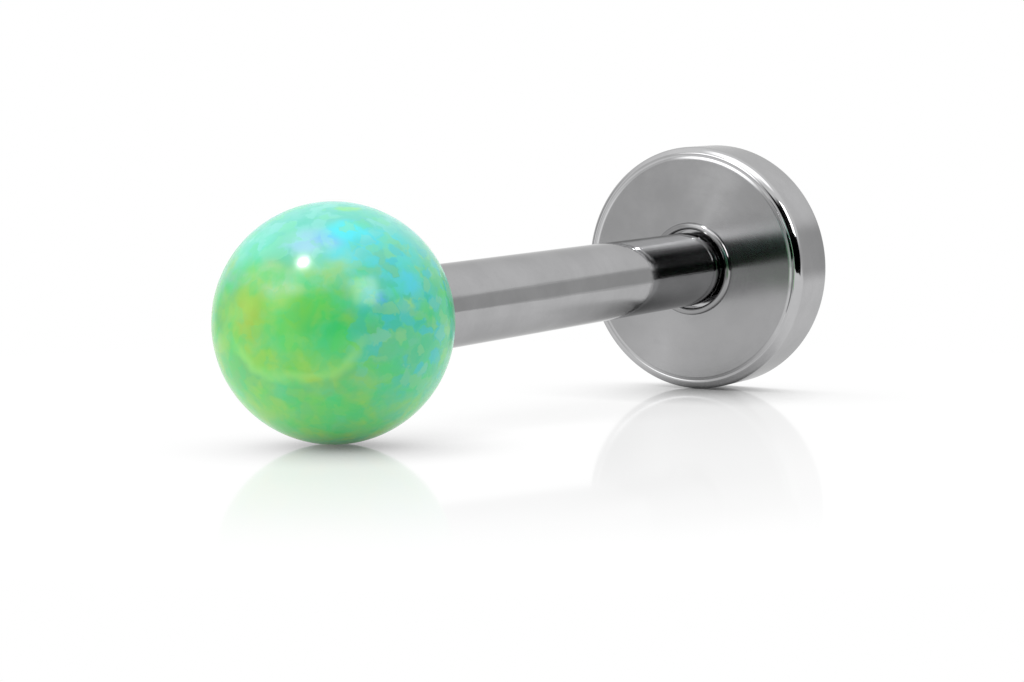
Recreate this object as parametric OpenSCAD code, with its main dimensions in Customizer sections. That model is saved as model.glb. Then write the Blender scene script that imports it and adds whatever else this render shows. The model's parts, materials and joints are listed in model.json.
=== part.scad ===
// Labret stud: a ball end on a straight bar with a round disc back, lying on a table.
// It lies as it rests by itself, on the ball and on the rim of the disc, so the bar rises
// a little from the ball to the disc. The origin is under the middle of the whole stud,
// on the table. +Z is up, and +Y runs from the ball to the disc.
// Each piece is drawn along +Z with the centre of the ball at zero, and is then laid down.

/* [Bar] */
// Diameter of the bar (16 gauge)
bar_d = 1.2; // [1.0:0.1:1.6]
// Wearable length, from the ball to the face of the disc
bar_len = 8; // [5:0.5:14]
// Diameter of the neck that sits in the disc
neck_d = 0.8; // [0.6:0.05:0.8]
// Length of neck that shows in front of the disc's face
neck_show = 0.04; // [0.02:0.01:0.1]
// Radius of the bar's shoulder over the neck
shoulder_r = 0.05; // [0.01:0.01:0.08]

/* [Ball end] */
// Diameter of the opal ball
ball_d = 3.2; // [2.6:0.2:3.8]
// Diameter of the push-fit pin that holds the ball
pin_d = 0.7; // [0.5:0.05:0.8]
// Length of pin inside the bar
pin_in_bar = 3; // [2:0.5:4]
// Depth of the pin past the centre of the ball
pin_past_centre = 0.5; // [0:0.1:0.9]
// Chamfer on the tip of the pin
pin_chamfer = 0.1; // [0.02:0.02:0.2]
// Depth of the bar's bore past the tip of the pin
bore_spare = 0.2; // [0.1:0.1:0.5]

/* [Disc back] */
// Diameter of the disc
disc_d = 4; // [4:0.5:6]
// Thickness of the disc
disc_t = 1; // [0.7:0.1:1.4]
// Width of the bevel round the face
bevel_w = 0.15; // [0.12:0.01:0.3]
// Depth of that bevel
bevel_t = 0.08; // [0.06:0.01:0.2]
// Radius on both edges of the bevel
edge_r = 0.06; // [0.02:0.01:0.08]
// Radius of the edge on the far side
back_edge_r = 0.1; // [0.04:0.02:0.2]
// Gap between the bar and the collar round it
collar_gap = 0.05; // [0.04:0.01:0.1]
// Width of the collar's wall
collar_w = 0.11; // [0.11:0.01:0.2]
// Height of the collar above the face
collar_h = 0.07; // [0.06:0.01:0.15]
// Radius on both edges of the collar
collar_r = 0.05; // [0.01:0.01:0.05]
// Depth of the open groove inside the collar, below the face
groove_t = 0.12; // [0.05:0.01:0.3]
// Depth at which the neck seats in the disc
seat_t = 0.5; // [0.4:0.05:0.6]

/* [Fits] */
// Radial clearance round the pin and the neck
running_gap = 0.02; // [0.01:0.01:0.05]
// Gap between the ball and the cupped end of the bar
cup_gap = 0.02; // [0.01:0.01:0.05]

/* [Hidden] */
$fn = 96;

steel = [0.62, 0.62, 0.63];
opal = [0.36, 0.85, 0.52];
// Number of flats along a rounded edge
edge_steps = 8;
// How far a shape that cuts or is cut runs past the surface
overrun = 0.1;

ball_r = ball_d / 2;
bar_r = bar_d / 2;
neck_r = neck_d / 2;
pin_r = pin_d / 2;
disc_r = disc_d / 2;
collar_in = bar_r + collar_gap;
collar_out = collar_in + collar_w;

// Places along the axis, counted from the centre of the ball
face_at = ball_r + bar_len;
shoulder_at = face_at - neck_show;
seat_at = face_at + seat_t;
bar_end = sqrt(pow(ball_r, 2) - pow(bar_r, 2));
pin_tip = bar_end + pin_in_bar;

// Centre of the rounding between the bevel and the rim, which touches the table
bevel_angle = atan2(bevel_t, bevel_w);
rim_round_r = disc_r - edge_r;
rim_round_at = face_at + bevel_t + edge_r / tan(45 + bevel_angle / 2);

// Angle by which the bar rises, so that this rounding and the ball both touch the table
rise = acos((ball_r - edge_r) / norm([rim_round_r, rim_round_at])) - atan2(rim_round_at, rim_round_r);

// Place of the ball's centre that puts the middle of the stud's whole length at zero
back_round_r = disc_r - back_edge_r;
back_round_at = face_at + disc_t - back_edge_r;
far_end = back_round_at * cos(rise) + back_round_r * sin(rise) + back_edge_r;
ball_y = (ball_r - far_end) / 2;

function unit(v) = v / norm(v);
function turned_by(v, t) = [v.x * cos(t) - v.y * sin(t), v.x * sin(t) + v.y * cos(t)];

// The corner at b of an outline a, b, c, as the points of an arc of radius r
function rounded(a, b, c, r) =
    r == 0 ? [b] :
    let (
        to_a = unit(a - b),
        to_c = unit(c - b),
        half = acos(to_a * to_c) / 2,
        centre = b + unit(to_a + to_c) * r / sin(half),
        start = b + to_a * r / tan(half) - centre,
        turn = sign(cross(b - a, c - b)) * (180 - 2 * half)
    )
    [for (i = [0:edge_steps]) centre + turned_by(start, turn * i / edge_steps)];

// An outline from rows of [distance from the axis, place along the axis, radius of the corner]
function outline(rows) =
    let (n = len(rows), corners = [for (row = rows) [row[0], row[1]]])
    [
        for (i = [0:n - 1])
            each rounded(corners[(i + n - 1) % n], corners[i], corners[(i + 1) % n], rows[i][2])
    ];

module turned(rows) {
    rotate_extrude() polygon(outline(rows));
}

module lay_down() {
    translate([0, ball_y, ball_r]) rotate([rise - 90, 0, 0]) children();
}

module disc_back() {
    // places are counted from the face
    rows = [
        [0, disc_t, 0],
        [0, seat_t, 0],
        [neck_r + running_gap, seat_t, 0],
        [neck_r + running_gap, groove_t, 0],
        [collar_in, groove_t, 0],
        [collar_in, -collar_h, collar_r],
        [collar_out, -collar_h, collar_r],
        [collar_out, 0, 0],
        [disc_r - bevel_w, 0, edge_r],
        [disc_r, bevel_t, edge_r],
        [disc_r, disc_t, back_edge_r]
    ];
    color(steel) lay_down() translate([0, 0, face_at]) turned(rows);
}

module bar() {
    rows = [
        [0, bar_end - overrun, 0],
        [bar_r, bar_end - overrun, 0],
        [bar_r, shoulder_at, shoulder_r],
        [neck_r, shoulder_at, 0],
        [neck_r, seat_at, 0],
        [0, seat_at, 0]
    ];
    color(steel) lay_down() difference() {
        turned(rows);
        sphere(r = ball_r + cup_gap);
        cylinder(r = pin_r + running_gap, h = pin_tip + bore_spare);
    }
}

module ball_pin() {
    rows = [
        [0, -pin_past_centre, 0],
        [pin_r, -pin_past_centre, 0],
        [pin_r, pin_tip - pin_chamfer, 0],
        [pin_r - pin_chamfer, pin_tip, 0],
        [0, pin_tip, 0]
    ];
    color(steel) lay_down() turned(rows);
}

module opal_ball() {
    color(opal) lay_down() difference() {
        sphere(r = ball_r);
        translate([0, 0, -pin_past_centre])
            cylinder(r = pin_r + running_gap, h = pin_past_centre + ball_r + overrun);
    }
}

disc_back();
bar();
ball_pin();
opal_ball();
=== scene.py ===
import json
from math import acos, asin, cos, pi, radians, sin, sqrt, tan

import bmesh
import bpy
from mathutils import Matrix, Vector


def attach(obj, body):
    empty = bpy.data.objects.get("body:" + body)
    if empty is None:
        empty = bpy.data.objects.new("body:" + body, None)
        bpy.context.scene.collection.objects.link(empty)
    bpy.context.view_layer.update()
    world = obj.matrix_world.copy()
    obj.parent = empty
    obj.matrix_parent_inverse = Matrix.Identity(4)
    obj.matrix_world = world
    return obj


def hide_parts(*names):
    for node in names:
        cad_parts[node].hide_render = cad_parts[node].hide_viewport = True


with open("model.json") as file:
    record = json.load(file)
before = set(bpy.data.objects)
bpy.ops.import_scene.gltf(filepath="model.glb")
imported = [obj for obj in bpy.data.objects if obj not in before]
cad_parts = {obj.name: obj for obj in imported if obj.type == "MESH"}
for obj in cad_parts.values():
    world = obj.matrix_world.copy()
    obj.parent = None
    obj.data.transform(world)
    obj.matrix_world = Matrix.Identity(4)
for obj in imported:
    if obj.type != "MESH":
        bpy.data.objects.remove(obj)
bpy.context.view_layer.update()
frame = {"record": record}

# Sizes of the stud in millimetres, as in its solids
BALL_R, BAR_R, NECK_R, PIN_R, DISC_R = 1.6, 0.6, 0.4, 0.35, 2.0
BAR_LEN, NECK_SHOW, SHOULDER_R, GAP = 8.0, 0.04, 0.05, 0.02
PIN_IN_BAR, PIN_PAST_CENTRE, PIN_CHAMFER, BORE_SPARE = 3.0, 0.5, 0.1, 0.2
DISC_T, SEAT_T, RECESS_T, BACK_EDGE_R = 1.0, 0.5, 0.12, 0.1
BEVEL_W, BEVEL_T = 0.15, 0.08
COLLAR_IN, COLLAR_OUT, COLLAR_H = 0.65, 0.76, 0.07

# Finer than in the solids: the disc's front edge, a groove inside its bevel, and the collar's lip
EDGE_R = 0.12
GROOVE_W, GROOVE_T = 0.1, 0.012
LIP_DROP, LIP_R = 0.02, 0.04

# Places along the axis, counted from the centre of the ball
FACE_AT = BALL_R + BAR_LEN
BAR_END = sqrt(BALL_R**2 - BAR_R**2)
PIN_TIP = BAR_END + PIN_IN_BAR

# The mount on the disc's far side gives the axis, which rises from the ball, and the ball's centre
back_face = next(mount for mount in frame["record"]["mounts"] if mount["name"] == "back_face")
AXIS = Vector(back_face["axis"]).normalized()
ACROSS = Vector((1, 0, 0))
OVER = ACROSS.cross(AXIS)
BALL = Vector(back_face["pos_m"]) * 1000 - AXIS * (FACE_AT + DISC_T)


def towards(azimuth, elevation):
    """The unit vector of a heading, anticlockwise from the ball's end, and a height, in degrees."""
    a, e = radians(azimuth), radians(elevation)
    return Vector((sin(a) * cos(e), -cos(a) * cos(e), sin(e)))


# The photo's view: its heading and height, the directions to the camera, to the right and up, how far
# the camera is from the origin along them, in millimetres, and its lens
VIEW_AZ, VIEW_EL = 33.4566, 4.0205
FRONT = towards(VIEW_AZ, VIEW_EL)
RIGHT = towards(VIEW_AZ + 90, 0)
UP = FRONT.cross(RIGHT)
CAMERA_FRONT, CAMERA_RIGHT, CAMERA_UP = 35.4408, -0.1549, 1.0945
LENS, SENSOR = 84.327, 36


# Shapes

def rounded(a, b, c, radius, steps=10):
    """The corner at b of the outline a, b, c as an arc, with a flat point close to each of its ends."""
    if radius == 0:
        return [b]
    to_a, to_c = (a - b).normalized(), (c - b).normalized()
    half = acos(to_a.dot(to_c)) / 2
    reach = radius / tan(half)
    centre = b + (to_a + to_c).normalized() * radius / sin(half)
    start, end = b + to_a * reach - centre, b + to_c * reach - centre
    turn = pi - 2 * half
    arc = [
        centre + (start * sin(turn * (1 - i / steps)) + end * sin(turn * i / steps)) / sin(turn)
        for i in range(steps + 1)
    ]
    close = 0.002
    return [arc[0] + to_a * close, *arc, arc[-1] + to_c * close]


def outline(rows):
    """Rows of (distance from the axis, place along it, radius of the corner) as points."""
    corners = [Vector(row[:2]) for row in rows]
    n = len(rows)
    points = []
    for i in range(n):
        points += rounded(corners[i - 1], corners[i], corners[(i + 1) % n], rows[i][2])
    return points


def circle(radius, start, end, steps):
    """Points of a circle round the ball's centre, between two angles from the axis in radians."""
    angles = (start + (end - start) * i / steps for i in range(steps + 1))
    return [(radius * sin(t), radius * cos(t)) for t in angles]


def turned(name, points, body, node, sides=240):
    """A piece turned about the axis from (distance from it, place along it) in millimetres."""
    mesh = bpy.data.meshes.new(name)
    bm = bmesh.new()
    loops = []
    for r, place in points:
        on_axis = BALL + AXIS * place
        # a loop on the axis is a single point
        count = 1 if r < 1e-6 else sides
        loops.append([
            bm.verts.new((on_axis + (ACROSS * cos(t) + OVER * sin(t)) * r) / 1000)
            for t in (2 * pi * k / sides for k in range(count))
        ])
    for low, high in zip(loops, loops[1:] + loops[:1]):
        for k in range(sides):
            corners = [low[k % len(low)], low[(k + 1) % len(low)]]
            corners += [high[(k + 1) % len(high)], high[k % len(high)]]
            corners = list(dict.fromkeys(corners))
            if len(corners) > 2:
                bm.faces.new(corners)
    bmesh.ops.recalc_face_normals(bm, faces=bm.faces)
    bm.to_mesh(mesh)
    bm.free()
    mesh.shade_smooth()
    mesh.set_sharp_from_angle(angle=radians(30))
    piece = bpy.data.objects.new(name, mesh)
    bpy.context.scene.collection.objects.link(piece)
    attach(piece, body)
    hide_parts(node)
    return piece


def disc_back():
    """The disc, bevelled and grooved round its face, with the collar and the seat of the bar's neck."""
    groove_at = DISC_R - BEVEL_W
    # distance from the axis, depth from the face, radius of the corner
    rows = [
        (0, DISC_T, 0),
        (0, SEAT_T, 0),
        (NECK_R + GAP, SEAT_T, 0),
        (NECK_R + GAP, RECESS_T, 0),
        (COLLAR_IN, RECESS_T, 0),
        (COLLAR_IN, -COLLAR_H, LIP_R),
        (COLLAR_OUT, LIP_DROP - COLLAR_H, LIP_R),
        (COLLAR_OUT, 0, 0),
        (groove_at - GROOVE_W / 2, 0, 0.03),
        (groove_at, GROOVE_T, 0.02),
        (groove_at + GROOVE_W / 2, 0, 0.07),
        (DISC_R, BEVEL_T, EDGE_R),
        (DISC_R, DISC_T, BACK_EDGE_R),
    ]
    points = outline([(r, FACE_AT + depth, corner) for r, depth, corner in rows])
    return turned("turned_disc", points, "post", "disc_back")


def bar():
    """The bar, with its neck, and with a cup for the ball and a bore for the pin in its other end."""
    cup_r, bore_r = BALL_R + GAP, PIN_R + GAP
    cup = circle(cup_r, asin(bore_r / cup_r), asin(BAR_R / cup_r), 8)
    rest = outline([
        (BAR_R, BAR_END + 0.1, 0),
        (BAR_R, FACE_AT - NECK_SHOW, SHOULDER_R),
        (NECK_R, FACE_AT - NECK_SHOW, 0),
        (NECK_R, FACE_AT + SEAT_T, 0),
        (0, FACE_AT + SEAT_T, 0),
        (0, PIN_TIP + BORE_SPARE, 0),
        (bore_r, PIN_TIP + BORE_SPARE, 0),
    ])
    return turned("polished_bar", cup + rest, "post", "bar")


def ball_pin():
    points = outline([
        (0, -PIN_PAST_CENTRE, 0),
        (PIN_R, -PIN_PAST_CENTRE, 0),
        (PIN_R, PIN_TIP - PIN_CHAMFER, 0),
        (PIN_R - PIN_CHAMFER, PIN_TIP, 0),
        (0, PIN_TIP, 0),
    ])
    return turned("plain_pin", points, "ball_end", "ball_pin", sides=96)


def opal_ball():
    bore_r = PIN_R + GAP
    bore = [(0, -PIN_PAST_CENTRE), (bore_r, -PIN_PAST_CENTRE)]
    skin = circle(BALL_R, asin(bore_r / BALL_R), pi, 120)
    return turned("opal_sphere", bore + skin, "ball_end", "opal_ball")


# Nodes

def add(tree, kind, inputs=(), out=0, **settings):
    """A new node with its settings, its inputs set or linked, and its wanted output."""
    node = tree.nodes.new("ShaderNode" + kind)
    for name, value in settings.items():
        setattr(node, name, value)
    for key, value in dict(inputs).items():
        if isinstance(value, bpy.types.NodeSocket):
            tree.links.new(value, node.inputs[key])
        else:
            node.inputs[key].default_value = value
    return node.outputs[out]


def maths(tree, operation, *values):
    return add(tree, "Math", enumerate(values), operation=operation)


def vector(tree, operation, *values, out=0):
    return add(tree, "VectorMath", enumerate(values), operation=operation, out=out)


def scaled(tree, whole, by):
    return add(tree, "VectorMath", {0: whole, 3: by}, operation="SCALE")


def parts(tree, kind, whole):
    """The three numbers of a vector, kind XYZ, or of a colour, kind Color."""
    split = tree.nodes.new("ShaderNodeSeparate" + kind)
    tree.links.new(whole, split.inputs[0])
    return split.outputs


def ramp(tree, value, low, high, to_low=0.0, to_high=1.0):
    """The value taken smoothly from low..high to to_low..to_high."""
    inputs = {"Value": value, "From Min": low, "From Max": high, "To Min": to_low, "To Max": to_high}
    return add(tree, "MapRange", inputs, interpolation_type="SMOOTHSTEP")


def blend(tree, amount, a, b):
    """Number a, going over to number b."""
    return add(tree, "Mix", {0: amount, 2: a, 3: b}, data_type="FLOAT")


def mixed(tree, amount, a, b):
    """Colour a, going over to colour b."""
    return add(tree, "Mix", {0: amount, 6: a, 7: b}, out=2, data_type="RGBA")


def colour(screen):
    """Red, green and blue as a screen shows them, each well above 0 and up to 255, for a shader."""
    return *(((part / 255 + 0.055) / 1.055) ** 2.4 for part in screen), 1.0


def material(name, piece):
    """A new material on the piece, with its tree and its main shader."""
    made = bpy.data.materials.new(name)
    made.use_nodes = True
    piece.data.materials.clear()
    piece.data.materials.append(made)
    return made.node_tree, made.node_tree.nodes["Principled BSDF"]


def from_ball(tree):
    """The point on the surface, in metres from the ball's centre."""
    point = add(tree, "TexCoord", out=3)
    return vector(tree, "SUBTRACT", point, BALL / 1000)


def round_axis(tree):
    """How far along the axis the point is, how far from it, and its direction from the axis."""
    point = from_ball(tree)
    place = vector(tree, "DOT_PRODUCT", point, AXIS, out=1)
    away = vector(tree, "SUBTRACT", point, scaled(tree, AXIS, place))
    return place, vector(tree, "LENGTH", away, out=1), vector(tree, "NORMALIZE", away)


# Steel

def marks(tree, side, spread, along, gain):
    """Noise that changes by spread with the direction from the axis, and also with along."""
    at = vector(tree, "MULTIPLY_ADD", side, (spread,) * 3, add(tree, "CombineXYZ", {0: along}))
    return add(tree, "TexNoise", {"Vector": at, "Scale": 1.0, "Detail": 3.0, "Roughness": gain})


def rings(tree, place, radius, side):
    """Fine marks from turning, round the axis."""
    along = maths(tree, "MULTIPLY", maths(tree, "ADD", place, radius), 26000)
    return marks(tree, side, 1.2, along, 0.6)


def streaks(tree, place, radius, side):
    """Fine marks from polishing, along the axis."""
    return marks(tree, side, 22, maths(tree, "MULTIPLY", place, 900), 0.55)


def along_disc(collar, face, bevel, rim):
    """A value for each part of the disc in turn, from the collar to the rim and the far side."""
    def value(tree, place):
        depth = maths(tree, "SUBTRACT", maths(tree, "MULTIPLY", place, 1000), FACE_AT)
        found = collar
        # where each part takes over from the one before, in millimetres from the face
        for start, end, part in ((-0.006, -0.001, face), (0.001, 0.006, bevel), (0.1, 0.16, rim)):
            found = blend(tree, ramp(tree, depth, start, end), found, part)
        return found
    return value


def steel(name, piece, grey, roughness, pattern, depth, hollows=0):
    """Steel whose grey and roughness are numbers, or functions of the tree and the place on the axis.

    The pattern is rings or streaks. Its depth, and that of the soft hollows, are in micrometres.
    """
    tree, shader = material(name, piece)
    place, radius, side = round_axis(tree)
    mark = pattern(tree, place, radius, side)
    cloud = {"Vector": from_ball(tree), "Scale": 1400.0, "Detail": 4.0, "Roughness": 0.6}
    cloud = add(tree, "TexNoise", cloud)

    if callable(grey):
        grey = grey(tree, place)
    if callable(roughness):
        roughness = roughness(tree, place)
    tint = maths(tree, "MULTIPLY", ramp(tree, cloud, 0.3, 0.7, 0.95, 1.05), grey)
    tree.links.new(scaled(tree, (1, 1, 1.012), tint), shader.inputs["Base Color"])
    grain = maths(tree, "ADD", cloud, mark)
    rough = maths(tree, "MULTIPLY", ramp(tree, grain, 0.6, 1.6, 0.85, 1.15), roughness)
    tree.links.new(rough, shader.inputs["Roughness"])
    shader.inputs["Metallic"].default_value = 1.0
    shader.inputs["Specular Tint"].default_value = (0.7, 0.7, 0.7, 1)

    normal = add(tree, "Bump", {"Height": mark, "Strength": 1.0, "Distance": depth * 1e-6})
    if hollows:
        wave = {"Height": cloud, "Strength": 1.0, "Distance": hollows * 1e-6, "Normal": normal}
        normal = add(tree, "Bump", wave)
    tree.links.new(normal, shader.inputs["Normal"])
    return tree, shader, side


def turned_steel(piece):
    """Steel with a satin face that draws its shine out from the middle, and with a polished bevel."""
    # painted light: the face's darker grey paints shade on it, and the bevel's lighter grey paints a
    # brighter highlight band
    grey = along_disc(collar=0.3, face=0.36, bevel=0.48, rim=0.45)
    roughness = along_disc(collar=0.12, face=0.2, bevel=0.07, rim=0.14)
    tree, shader, side = steel("turned_steel", piece, grey, roughness, rings, 0.35)
    shader.inputs["Anisotropic"].default_value = 0.92
    tree.links.new(side, shader.inputs["Tangent"])


# Opal

# An oval on the side of the ball that the photo shows, where the ball's radius is 1: the place of its
# middle to the right and up, half its width and half its height
# The oval's edge stands for the edge of a reflection: the ball is painted greener inside it, and a
# painted reflection line runs along its lower edge.
PAINTED_REFLECTION_EDGE_OVAL = -0.25, 0.0, 0.6, 0.44

# The patches, each over the ones before it: the oval, the softness of its edge and the colour
PATCHES = (
    ((0.0, -1.0, 1.0, 0.5), 0.6, (116, 222, 124)),
    ((0.85, -0.2, 0.62, 0.8), 0.5, (98, 214, 160)),
    ((0.0, 1.0, 1.2, 0.66), 0.3, (119, 221, 205)),
    ((0.38, 0.5, 0.42, 0.3), 0.35, (92, 230, 236)),
    (PAINTED_REFLECTION_EDGE_OVAL, 0.1, (128, 219, 98)),
    # painted reflection of a soft light: a paler patch up and to the left
    ((-0.45, 0.36, 0.3, 0.14), 0.5, (180, 226, 164)),
    ((-0.05, 0.36, 0.3, 0.12), 0.6, (146, 228, 172)),
    ((-0.82, 0.4, 0.24, 0.2), 0.5, (136, 212, 174)),
    ((0.5, 0.2, 0.42, 0.2), 0.5, (98, 218, 206)),
    ((-0.64, 0.0, 0.17, 0.26), 0.6, (166, 210, 84)),
    ((0.06, -0.08, 0.22, 0.18), 0.7, (77, 216, 120)),
    ((-0.62, 0.6, 0.24, 0.18), 0.5, (124, 234, 208)),
    # painted highlight: a pale blue glow beside the key lamp's highlight
    ((-0.15, 0.64, 0.2, 0.1), 0.6, (160, 224, 240)),
    ((0.03, 0.67, 0.1, 0.08), 0.8, (126, 208, 250)),
    ((0.17, 0.73, 0.16, 0.1), 0.5, (90, 244, 255)),
    ((0.15, 0.92, 0.1, 0.02), 0.6, (160, 238, 130)),
    ((0.62, 0.32, 0.16, 0.12), 0.5, (86, 222, 236)),
    ((0.45, 0.15, 0.06, 0.07), 0.5, (90, 196, 230)),
    ((0.62, 0.14, 0.08, 0.05), 0.5, (160, 230, 154)),
    ((-0.12, -0.44, 0.08, 0.04), 0.6, (162, 216, 90)),
)


def opal(piece):
    """Soft patches of colour, a few of them painted reflections, with clouds and chips of other colours
    drawn over them.
    """
    tree, shader = material("green_opal", piece)
    unit = scaled(tree, from_ball(tree), 1000 / BALL_R)
    sides = [vector(tree, "DOT_PRODUCT", unit, way, out=1) for way in (RIGHT, UP, FRONT)]
    point = add(tree, "CombineXYZ", enumerate(sides))

    def bent(scale, amount):
        """The point, pushed about by noise so that what is drawn there has no clean edges."""
        noise = {"Vector": point, "Scale": scale, "Detail": 2.0, "Roughness": 0.5}
        noise = add(tree, "TexNoise", noise, out=1)
        push = vector(tree, "MULTIPLY_ADD", noise, (amount,) * 3, (-amount / 2,) * 3)
        return vector(tree, "ADD", point, push)

    wide, fine, ragged = bent(2.5, 0.28), bent(6.0, 0.08), bent(14.0, 0.09)

    def away(right, up, width, height):
        """Distance from the middle of an oval, 1 on its edge."""
        middle = (right, up, sqrt(max(0.0, 1 - right**2 - up**2)))
        from_middle = vector(tree, "SUBTRACT", wide if width > 0.25 else fine, middle)
        return vector(tree, "LENGTH", vector(tree, "DIVIDE", from_middle, (width, height, width)), out=1)

    skin = colour((120, 208, 124))
    for oval, soft, screen in PATCHES:
        skin = mixed(tree, ramp(tree, away(*oval), 1 + soft, 1 - soft), skin, colour(screen))

    # three patterns of clouds, and three of chips, that have nothing to do with each other
    clouds = {"Vector": fine, "Scale": 4.0, "Detail": 3.0, "Roughness": 0.5, "Distortion": 0.3}
    clouds = parts(tree, "Color", add(tree, "TexNoise", clouds, out=1))
    chips = {"Vector": ragged, "Scale": 9.0, "Smoothness": 1.0}
    chips = add(tree, "TexVoronoi", chips, out=1, feature="SMOOTH_F1", distance="MANHATTAN")
    chips = parts(tree, "Color", chips)

    # where they lie: on the top, on all the rest, on its lively right side or mostly on its calm left
    top = ramp(tree, away(0.1, 1.0, 1.2, 0.75), 1.15, 0.85)
    rest = maths(tree, "SUBTRACT", 1.0, top)
    lively = ramp(tree, away(0.8, 0.1, 0.8, 0.75), 1.2, 0.5)
    calm = maths(tree, "MULTIPLY", rest, maths(tree, "MULTIPLY_ADD", lively, -0.8, 1.0))
    for pattern, low, high, where, share, screen in (
        (clouds[0], 0.42, 0.68, rest, 0.35, (84, 228, 172)),
        (clouds[1], 0.42, 0.66, rest, 0.5, (82, 225, 104)),
        (clouds[2], 0.45, 0.68, calm, 0.5, (168, 221, 97)),
        (clouds[1], 0.42, 0.66, top, 0.5, (96, 218, 190)),
        (chips[1], 0.4, 0.8, top, 0.4, (160, 242, 232)),
        (chips[2], 0.45, 0.85, top, 0.35, (112, 230, 156)),
        (chips[0], 0.5, 0.8, rest, 0.25, (60, 218, 140)),
        (chips[1], 0.5, 0.8, calm, 0.18, (170, 226, 90)),
        (chips[0], 0.35, 0.75, lively, 0.65, (74, 208, 222)),
        (chips[1], 0.4, 0.8, lively, 0.55, (62, 208, 160)),
        (chips[2], 0.45, 0.85, lively, 0.45, (160, 226, 150)),
    ):
        amount = maths(tree, "MULTIPLY", ramp(tree, pattern, low, high, 0.0, share), where)
        skin = mixed(tree, amount, skin, colour(screen))

    # painted reflection: a paler line along the lower edge of the green oval, where the painted
    # reflection ends
    off_edge = maths(tree, "ABSOLUTE", maths(tree, "SUBTRACT", away(*PAINTED_REFLECTION_EDGE_OVAL), 1.0))
    painted_reflection_line = ramp(tree, off_edge, 0.15, 0.0, 0.0, 0.5)
    painted_reflection_line = maths(tree, "MULTIPLY", painted_reflection_line, ramp(tree, sides[1], -0.05, -0.3))
    skin = mixed(tree, painted_reflection_line, skin, colour((166, 240, 134)))

    tree.links.new(skin, shader.inputs["Base Color"])
    polish = add(tree, "TexNoise", {"Vector": point, "Scale": 6.0, "Detail": 4.0})
    tree.links.new(ramp(tree, polish, 0.3, 0.7, 0.17, 0.21), shader.inputs["Roughness"])
    swell = add(tree, "Bump", {"Height": polish, "Strength": 1.0, "Distance": 1e-6})
    tree.links.new(swell, shader.inputs["Normal"])
    shader.inputs["IOR"].default_value = 1.45
    shader.inputs["Subsurface Weight"].default_value = 0.25
    shader.inputs["Subsurface Radius"].default_value = (0.4, 1.0, 0.6)
    shader.inputs["Subsurface Scale"].default_value = 0.0003


# Table, light and camera

def table():
    """A round white light table, which darkens close to the stud and mirrors it softly."""
    radius, sides = 0.015, 180
    mesh = bpy.data.meshes.new("table")
    turns = [2 * pi * k / sides for k in range(sides)]
    mesh.from_pydata([(radius * cos(t), radius * sin(t), 0) for t in turns], [], [range(sides)])
    floor = bpy.data.objects.new("table", mesh)
    bpy.context.scene.collection.objects.link(floor)
    tree, shader = material("white_table", floor)
    tree.nodes.remove(shader)
    spot = add(tree, "TexCoord", out=3)
    x, y, _ = parts(tree, "XYZ", spot)

    # painted shadow, as if the light came from behind: the disc's painted shadow is longer and deeper
    # than the ball's
    near_disc = ramp(tree, y, -0.002, 0.002)
    ball_sky, disc_sky = towards(VIEW_AZ + 210, 60), towards(VIEW_AZ + 180, 48)
    sky = add(tree, "Mix", {0: near_disc, 4: ball_sky, 5: disc_sky}, out=1, data_type="VECTOR")
    length = blend(tree, near_disc, 0.0016, 0.0026)
    depth = blend(tree, near_disc, 1.0, 1.4)
    open_sky = add(tree, "AmbientOcclusion", {"Distance": length, "Normal": sky}, out=1, samples=8)
    hidden = maths(tree, "SUBTRACT", 1.0, open_sky)
    shade = maths(tree, "MULTIPLY", maths(tree, "POWER", hidden, 2.0), depth)
    glow = maths(tree, "MAXIMUM", maths(tree, "SUBTRACT", 1.01, shade), 0.02)

    # the polish fades away from the stud, which touches the table at these two places, and at the edge
    ball_at, disc_at = BALL.y / 1000, 0.0053
    past_end = maths(tree, "SUBTRACT", y, add(tree, "Clamp", {0: y, 1: ball_at, 2: disc_at}))
    from_stud = vector(tree, "LENGTH", add(tree, "CombineXYZ", {0: x, 1: past_end}), out=1)
    inside = ramp(tree, vector(tree, "LENGTH", spot, out=1), radius, 0.01)
    polish = maths(tree, "MULTIPLY", inside, ramp(tree, from_stud, 0.0, 0.011, 0.26, 0.0))
    seen = add(tree, "LightPath", out=0)
    polish = maths(tree, "MULTIPLY", seen, polish)
    white = add(tree, "Emission", {0: (1, 1, 1, 1), 1: glow})
    mirror = add(tree, "BsdfGlossy", {"Color": (1, 1, 1, 1), "Roughness": 0.06})
    both = add(tree, "MixShader", {0: polish, 1: white, 2: mirror})
    tree.links.new(both, tree.nodes["Material Output"].inputs["Surface"])


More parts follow.
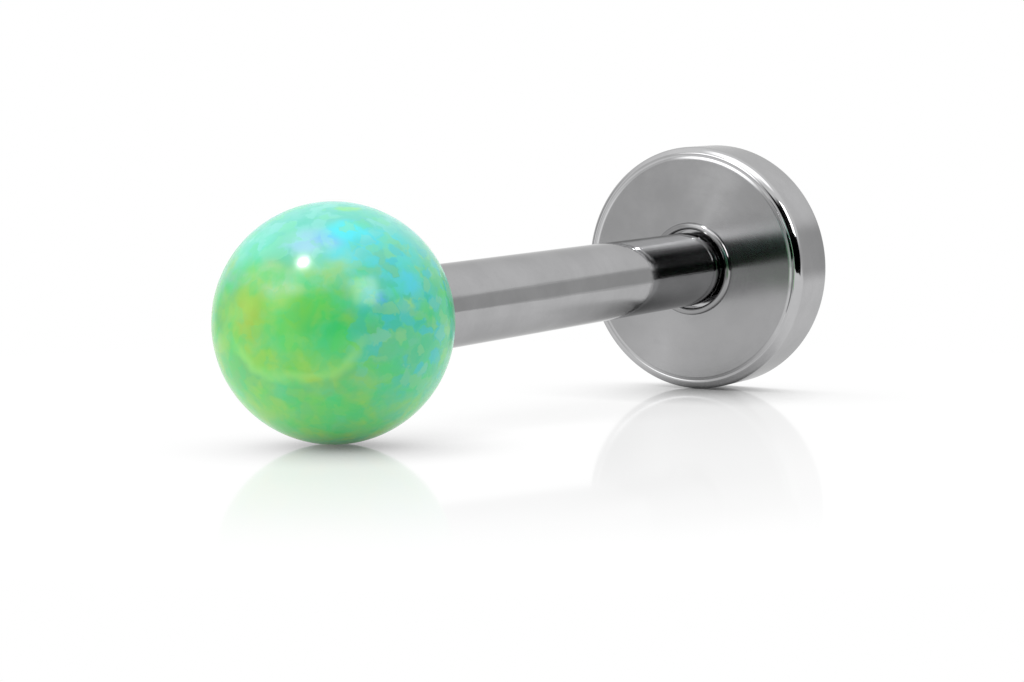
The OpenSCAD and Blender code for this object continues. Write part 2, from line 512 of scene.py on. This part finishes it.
def studio():
    """A light tent, white where the camera sees it, with the lights and darks that the metal mirrors."""
    world = bpy.data.worlds.new("tent")
    bpy.context.scene.world = world
    world.use_nodes = True
    tree = world.node_tree
    x, y, z = parts(tree, "XYZ", add(tree, "TexCoord", out=0))
    heading = maths(tree, "DEGREES", maths(tree, "ARCTAN2", x, maths(tree, "MULTIPLY", y, -1.0)))
    height = maths(tree, "DEGREES", maths(tree, "ARCSINE", z))

    light = ramp(tree, height, 20.0, 60.0, 1.0, 1.1)
    # oval patches: heading and height of the middle, half the sizes, softness of the edge, light
    for (at, up), (width, tall), soft, radiance in (
        ((140, 6), (48, 12), 0.3, 0.6),
        ((-5, 0), (75, 40), 0.15, 0.78),
        ((-92, -6), (16, 30), 0.4, 0.5),
        ((-58, -6), (9, 24), 0.5, 1.3),
        ((45, 11), (48, 27), 0.15, 0.0),
        ((-20, 24), (14, 12), 0.35, 2.8),
        ((-6, 34), (9, 8), 0.5, 3.5),
        ((25, 72), (75, 20), 0.2, 2.4),
    ):
        across = maths(tree, "WRAP", maths(tree, "SUBTRACT", heading, at), 180.0, -180.0)
        over = maths(tree, "SUBTRACT", height, up)
        oval = {0: maths(tree, "DIVIDE", across, width), 1: maths(tree, "DIVIDE", over, tall)}
        from_middle = vector(tree, "LENGTH", add(tree, "CombineXYZ", oval), out=1)
        light = blend(tree, ramp(tree, from_middle, 1 + soft, 1 - soft), light, radiance)
    seen = add(tree, "LightPath", out=0)
    light = blend(tree, seen, light, 1.0)
    tree.links.new(light, tree.nodes["Background"].inputs["Strength"])
    tree.nodes["Background"].inputs["Color"].default_value = (1, 1, 1, 1)


def lamp(name, at, spread, radiance, shape):
    """A lamp at (heading, height) that looks spread degrees wide from the stud."""
    away = 0.4
    data = bpy.data.lights.new(name, "AREA")
    data.shape = shape
    data.size = 2 * away * tan(radians(spread / 2))
    area = data.size**2 * (pi / 4 if shape == "DISK" else 1)
    data.energy = radiance * pi * area
    light = bpy.data.objects.new(name, data)
    light.location = towards(*at) * away
    light.rotation_euler = towards(*at).to_track_quat("Z", "Y").to_euler()
    light.visible_camera = False
    light.visible_diffuse = False
    bpy.context.scene.collection.objects.link(light)


def camera():
    data = bpy.data.cameras.new("photo_view")
    data.sensor_width = SENSOR
    data.lens = LENS
    data.clip_start = 0.001
    data.clip_end = 10
    view = bpy.data.objects.new("photo_view", data)
    place = (FRONT * CAMERA_FRONT + RIGHT * CAMERA_RIGHT + UP * CAMERA_UP) / 1000
    turn = Matrix((RIGHT, UP, FRONT)).transposed().to_4x4()
    view.matrix_world = Matrix.Translation(place) @ turn
    bpy.context.scene.collection.objects.link(view)
    bpy.context.scene.camera = view


turned_steel(disc_back())
steel("polished_steel", bar(), 0.41, 0.05, streaks, 0.8, hollows=2.0)
steel("pin_steel", ball_pin(), 0.41, 0.2, rings, 0.4)
opal(opal_ball())
table()
studio()
lamp("key", (-11.3, 57.1), 7, 130, "DISK")
lamp("window", (71, 32), 24, 5.5, "SQUARE")
camera()
bpy.context.scene.view_settings.view_transform = "Standard"
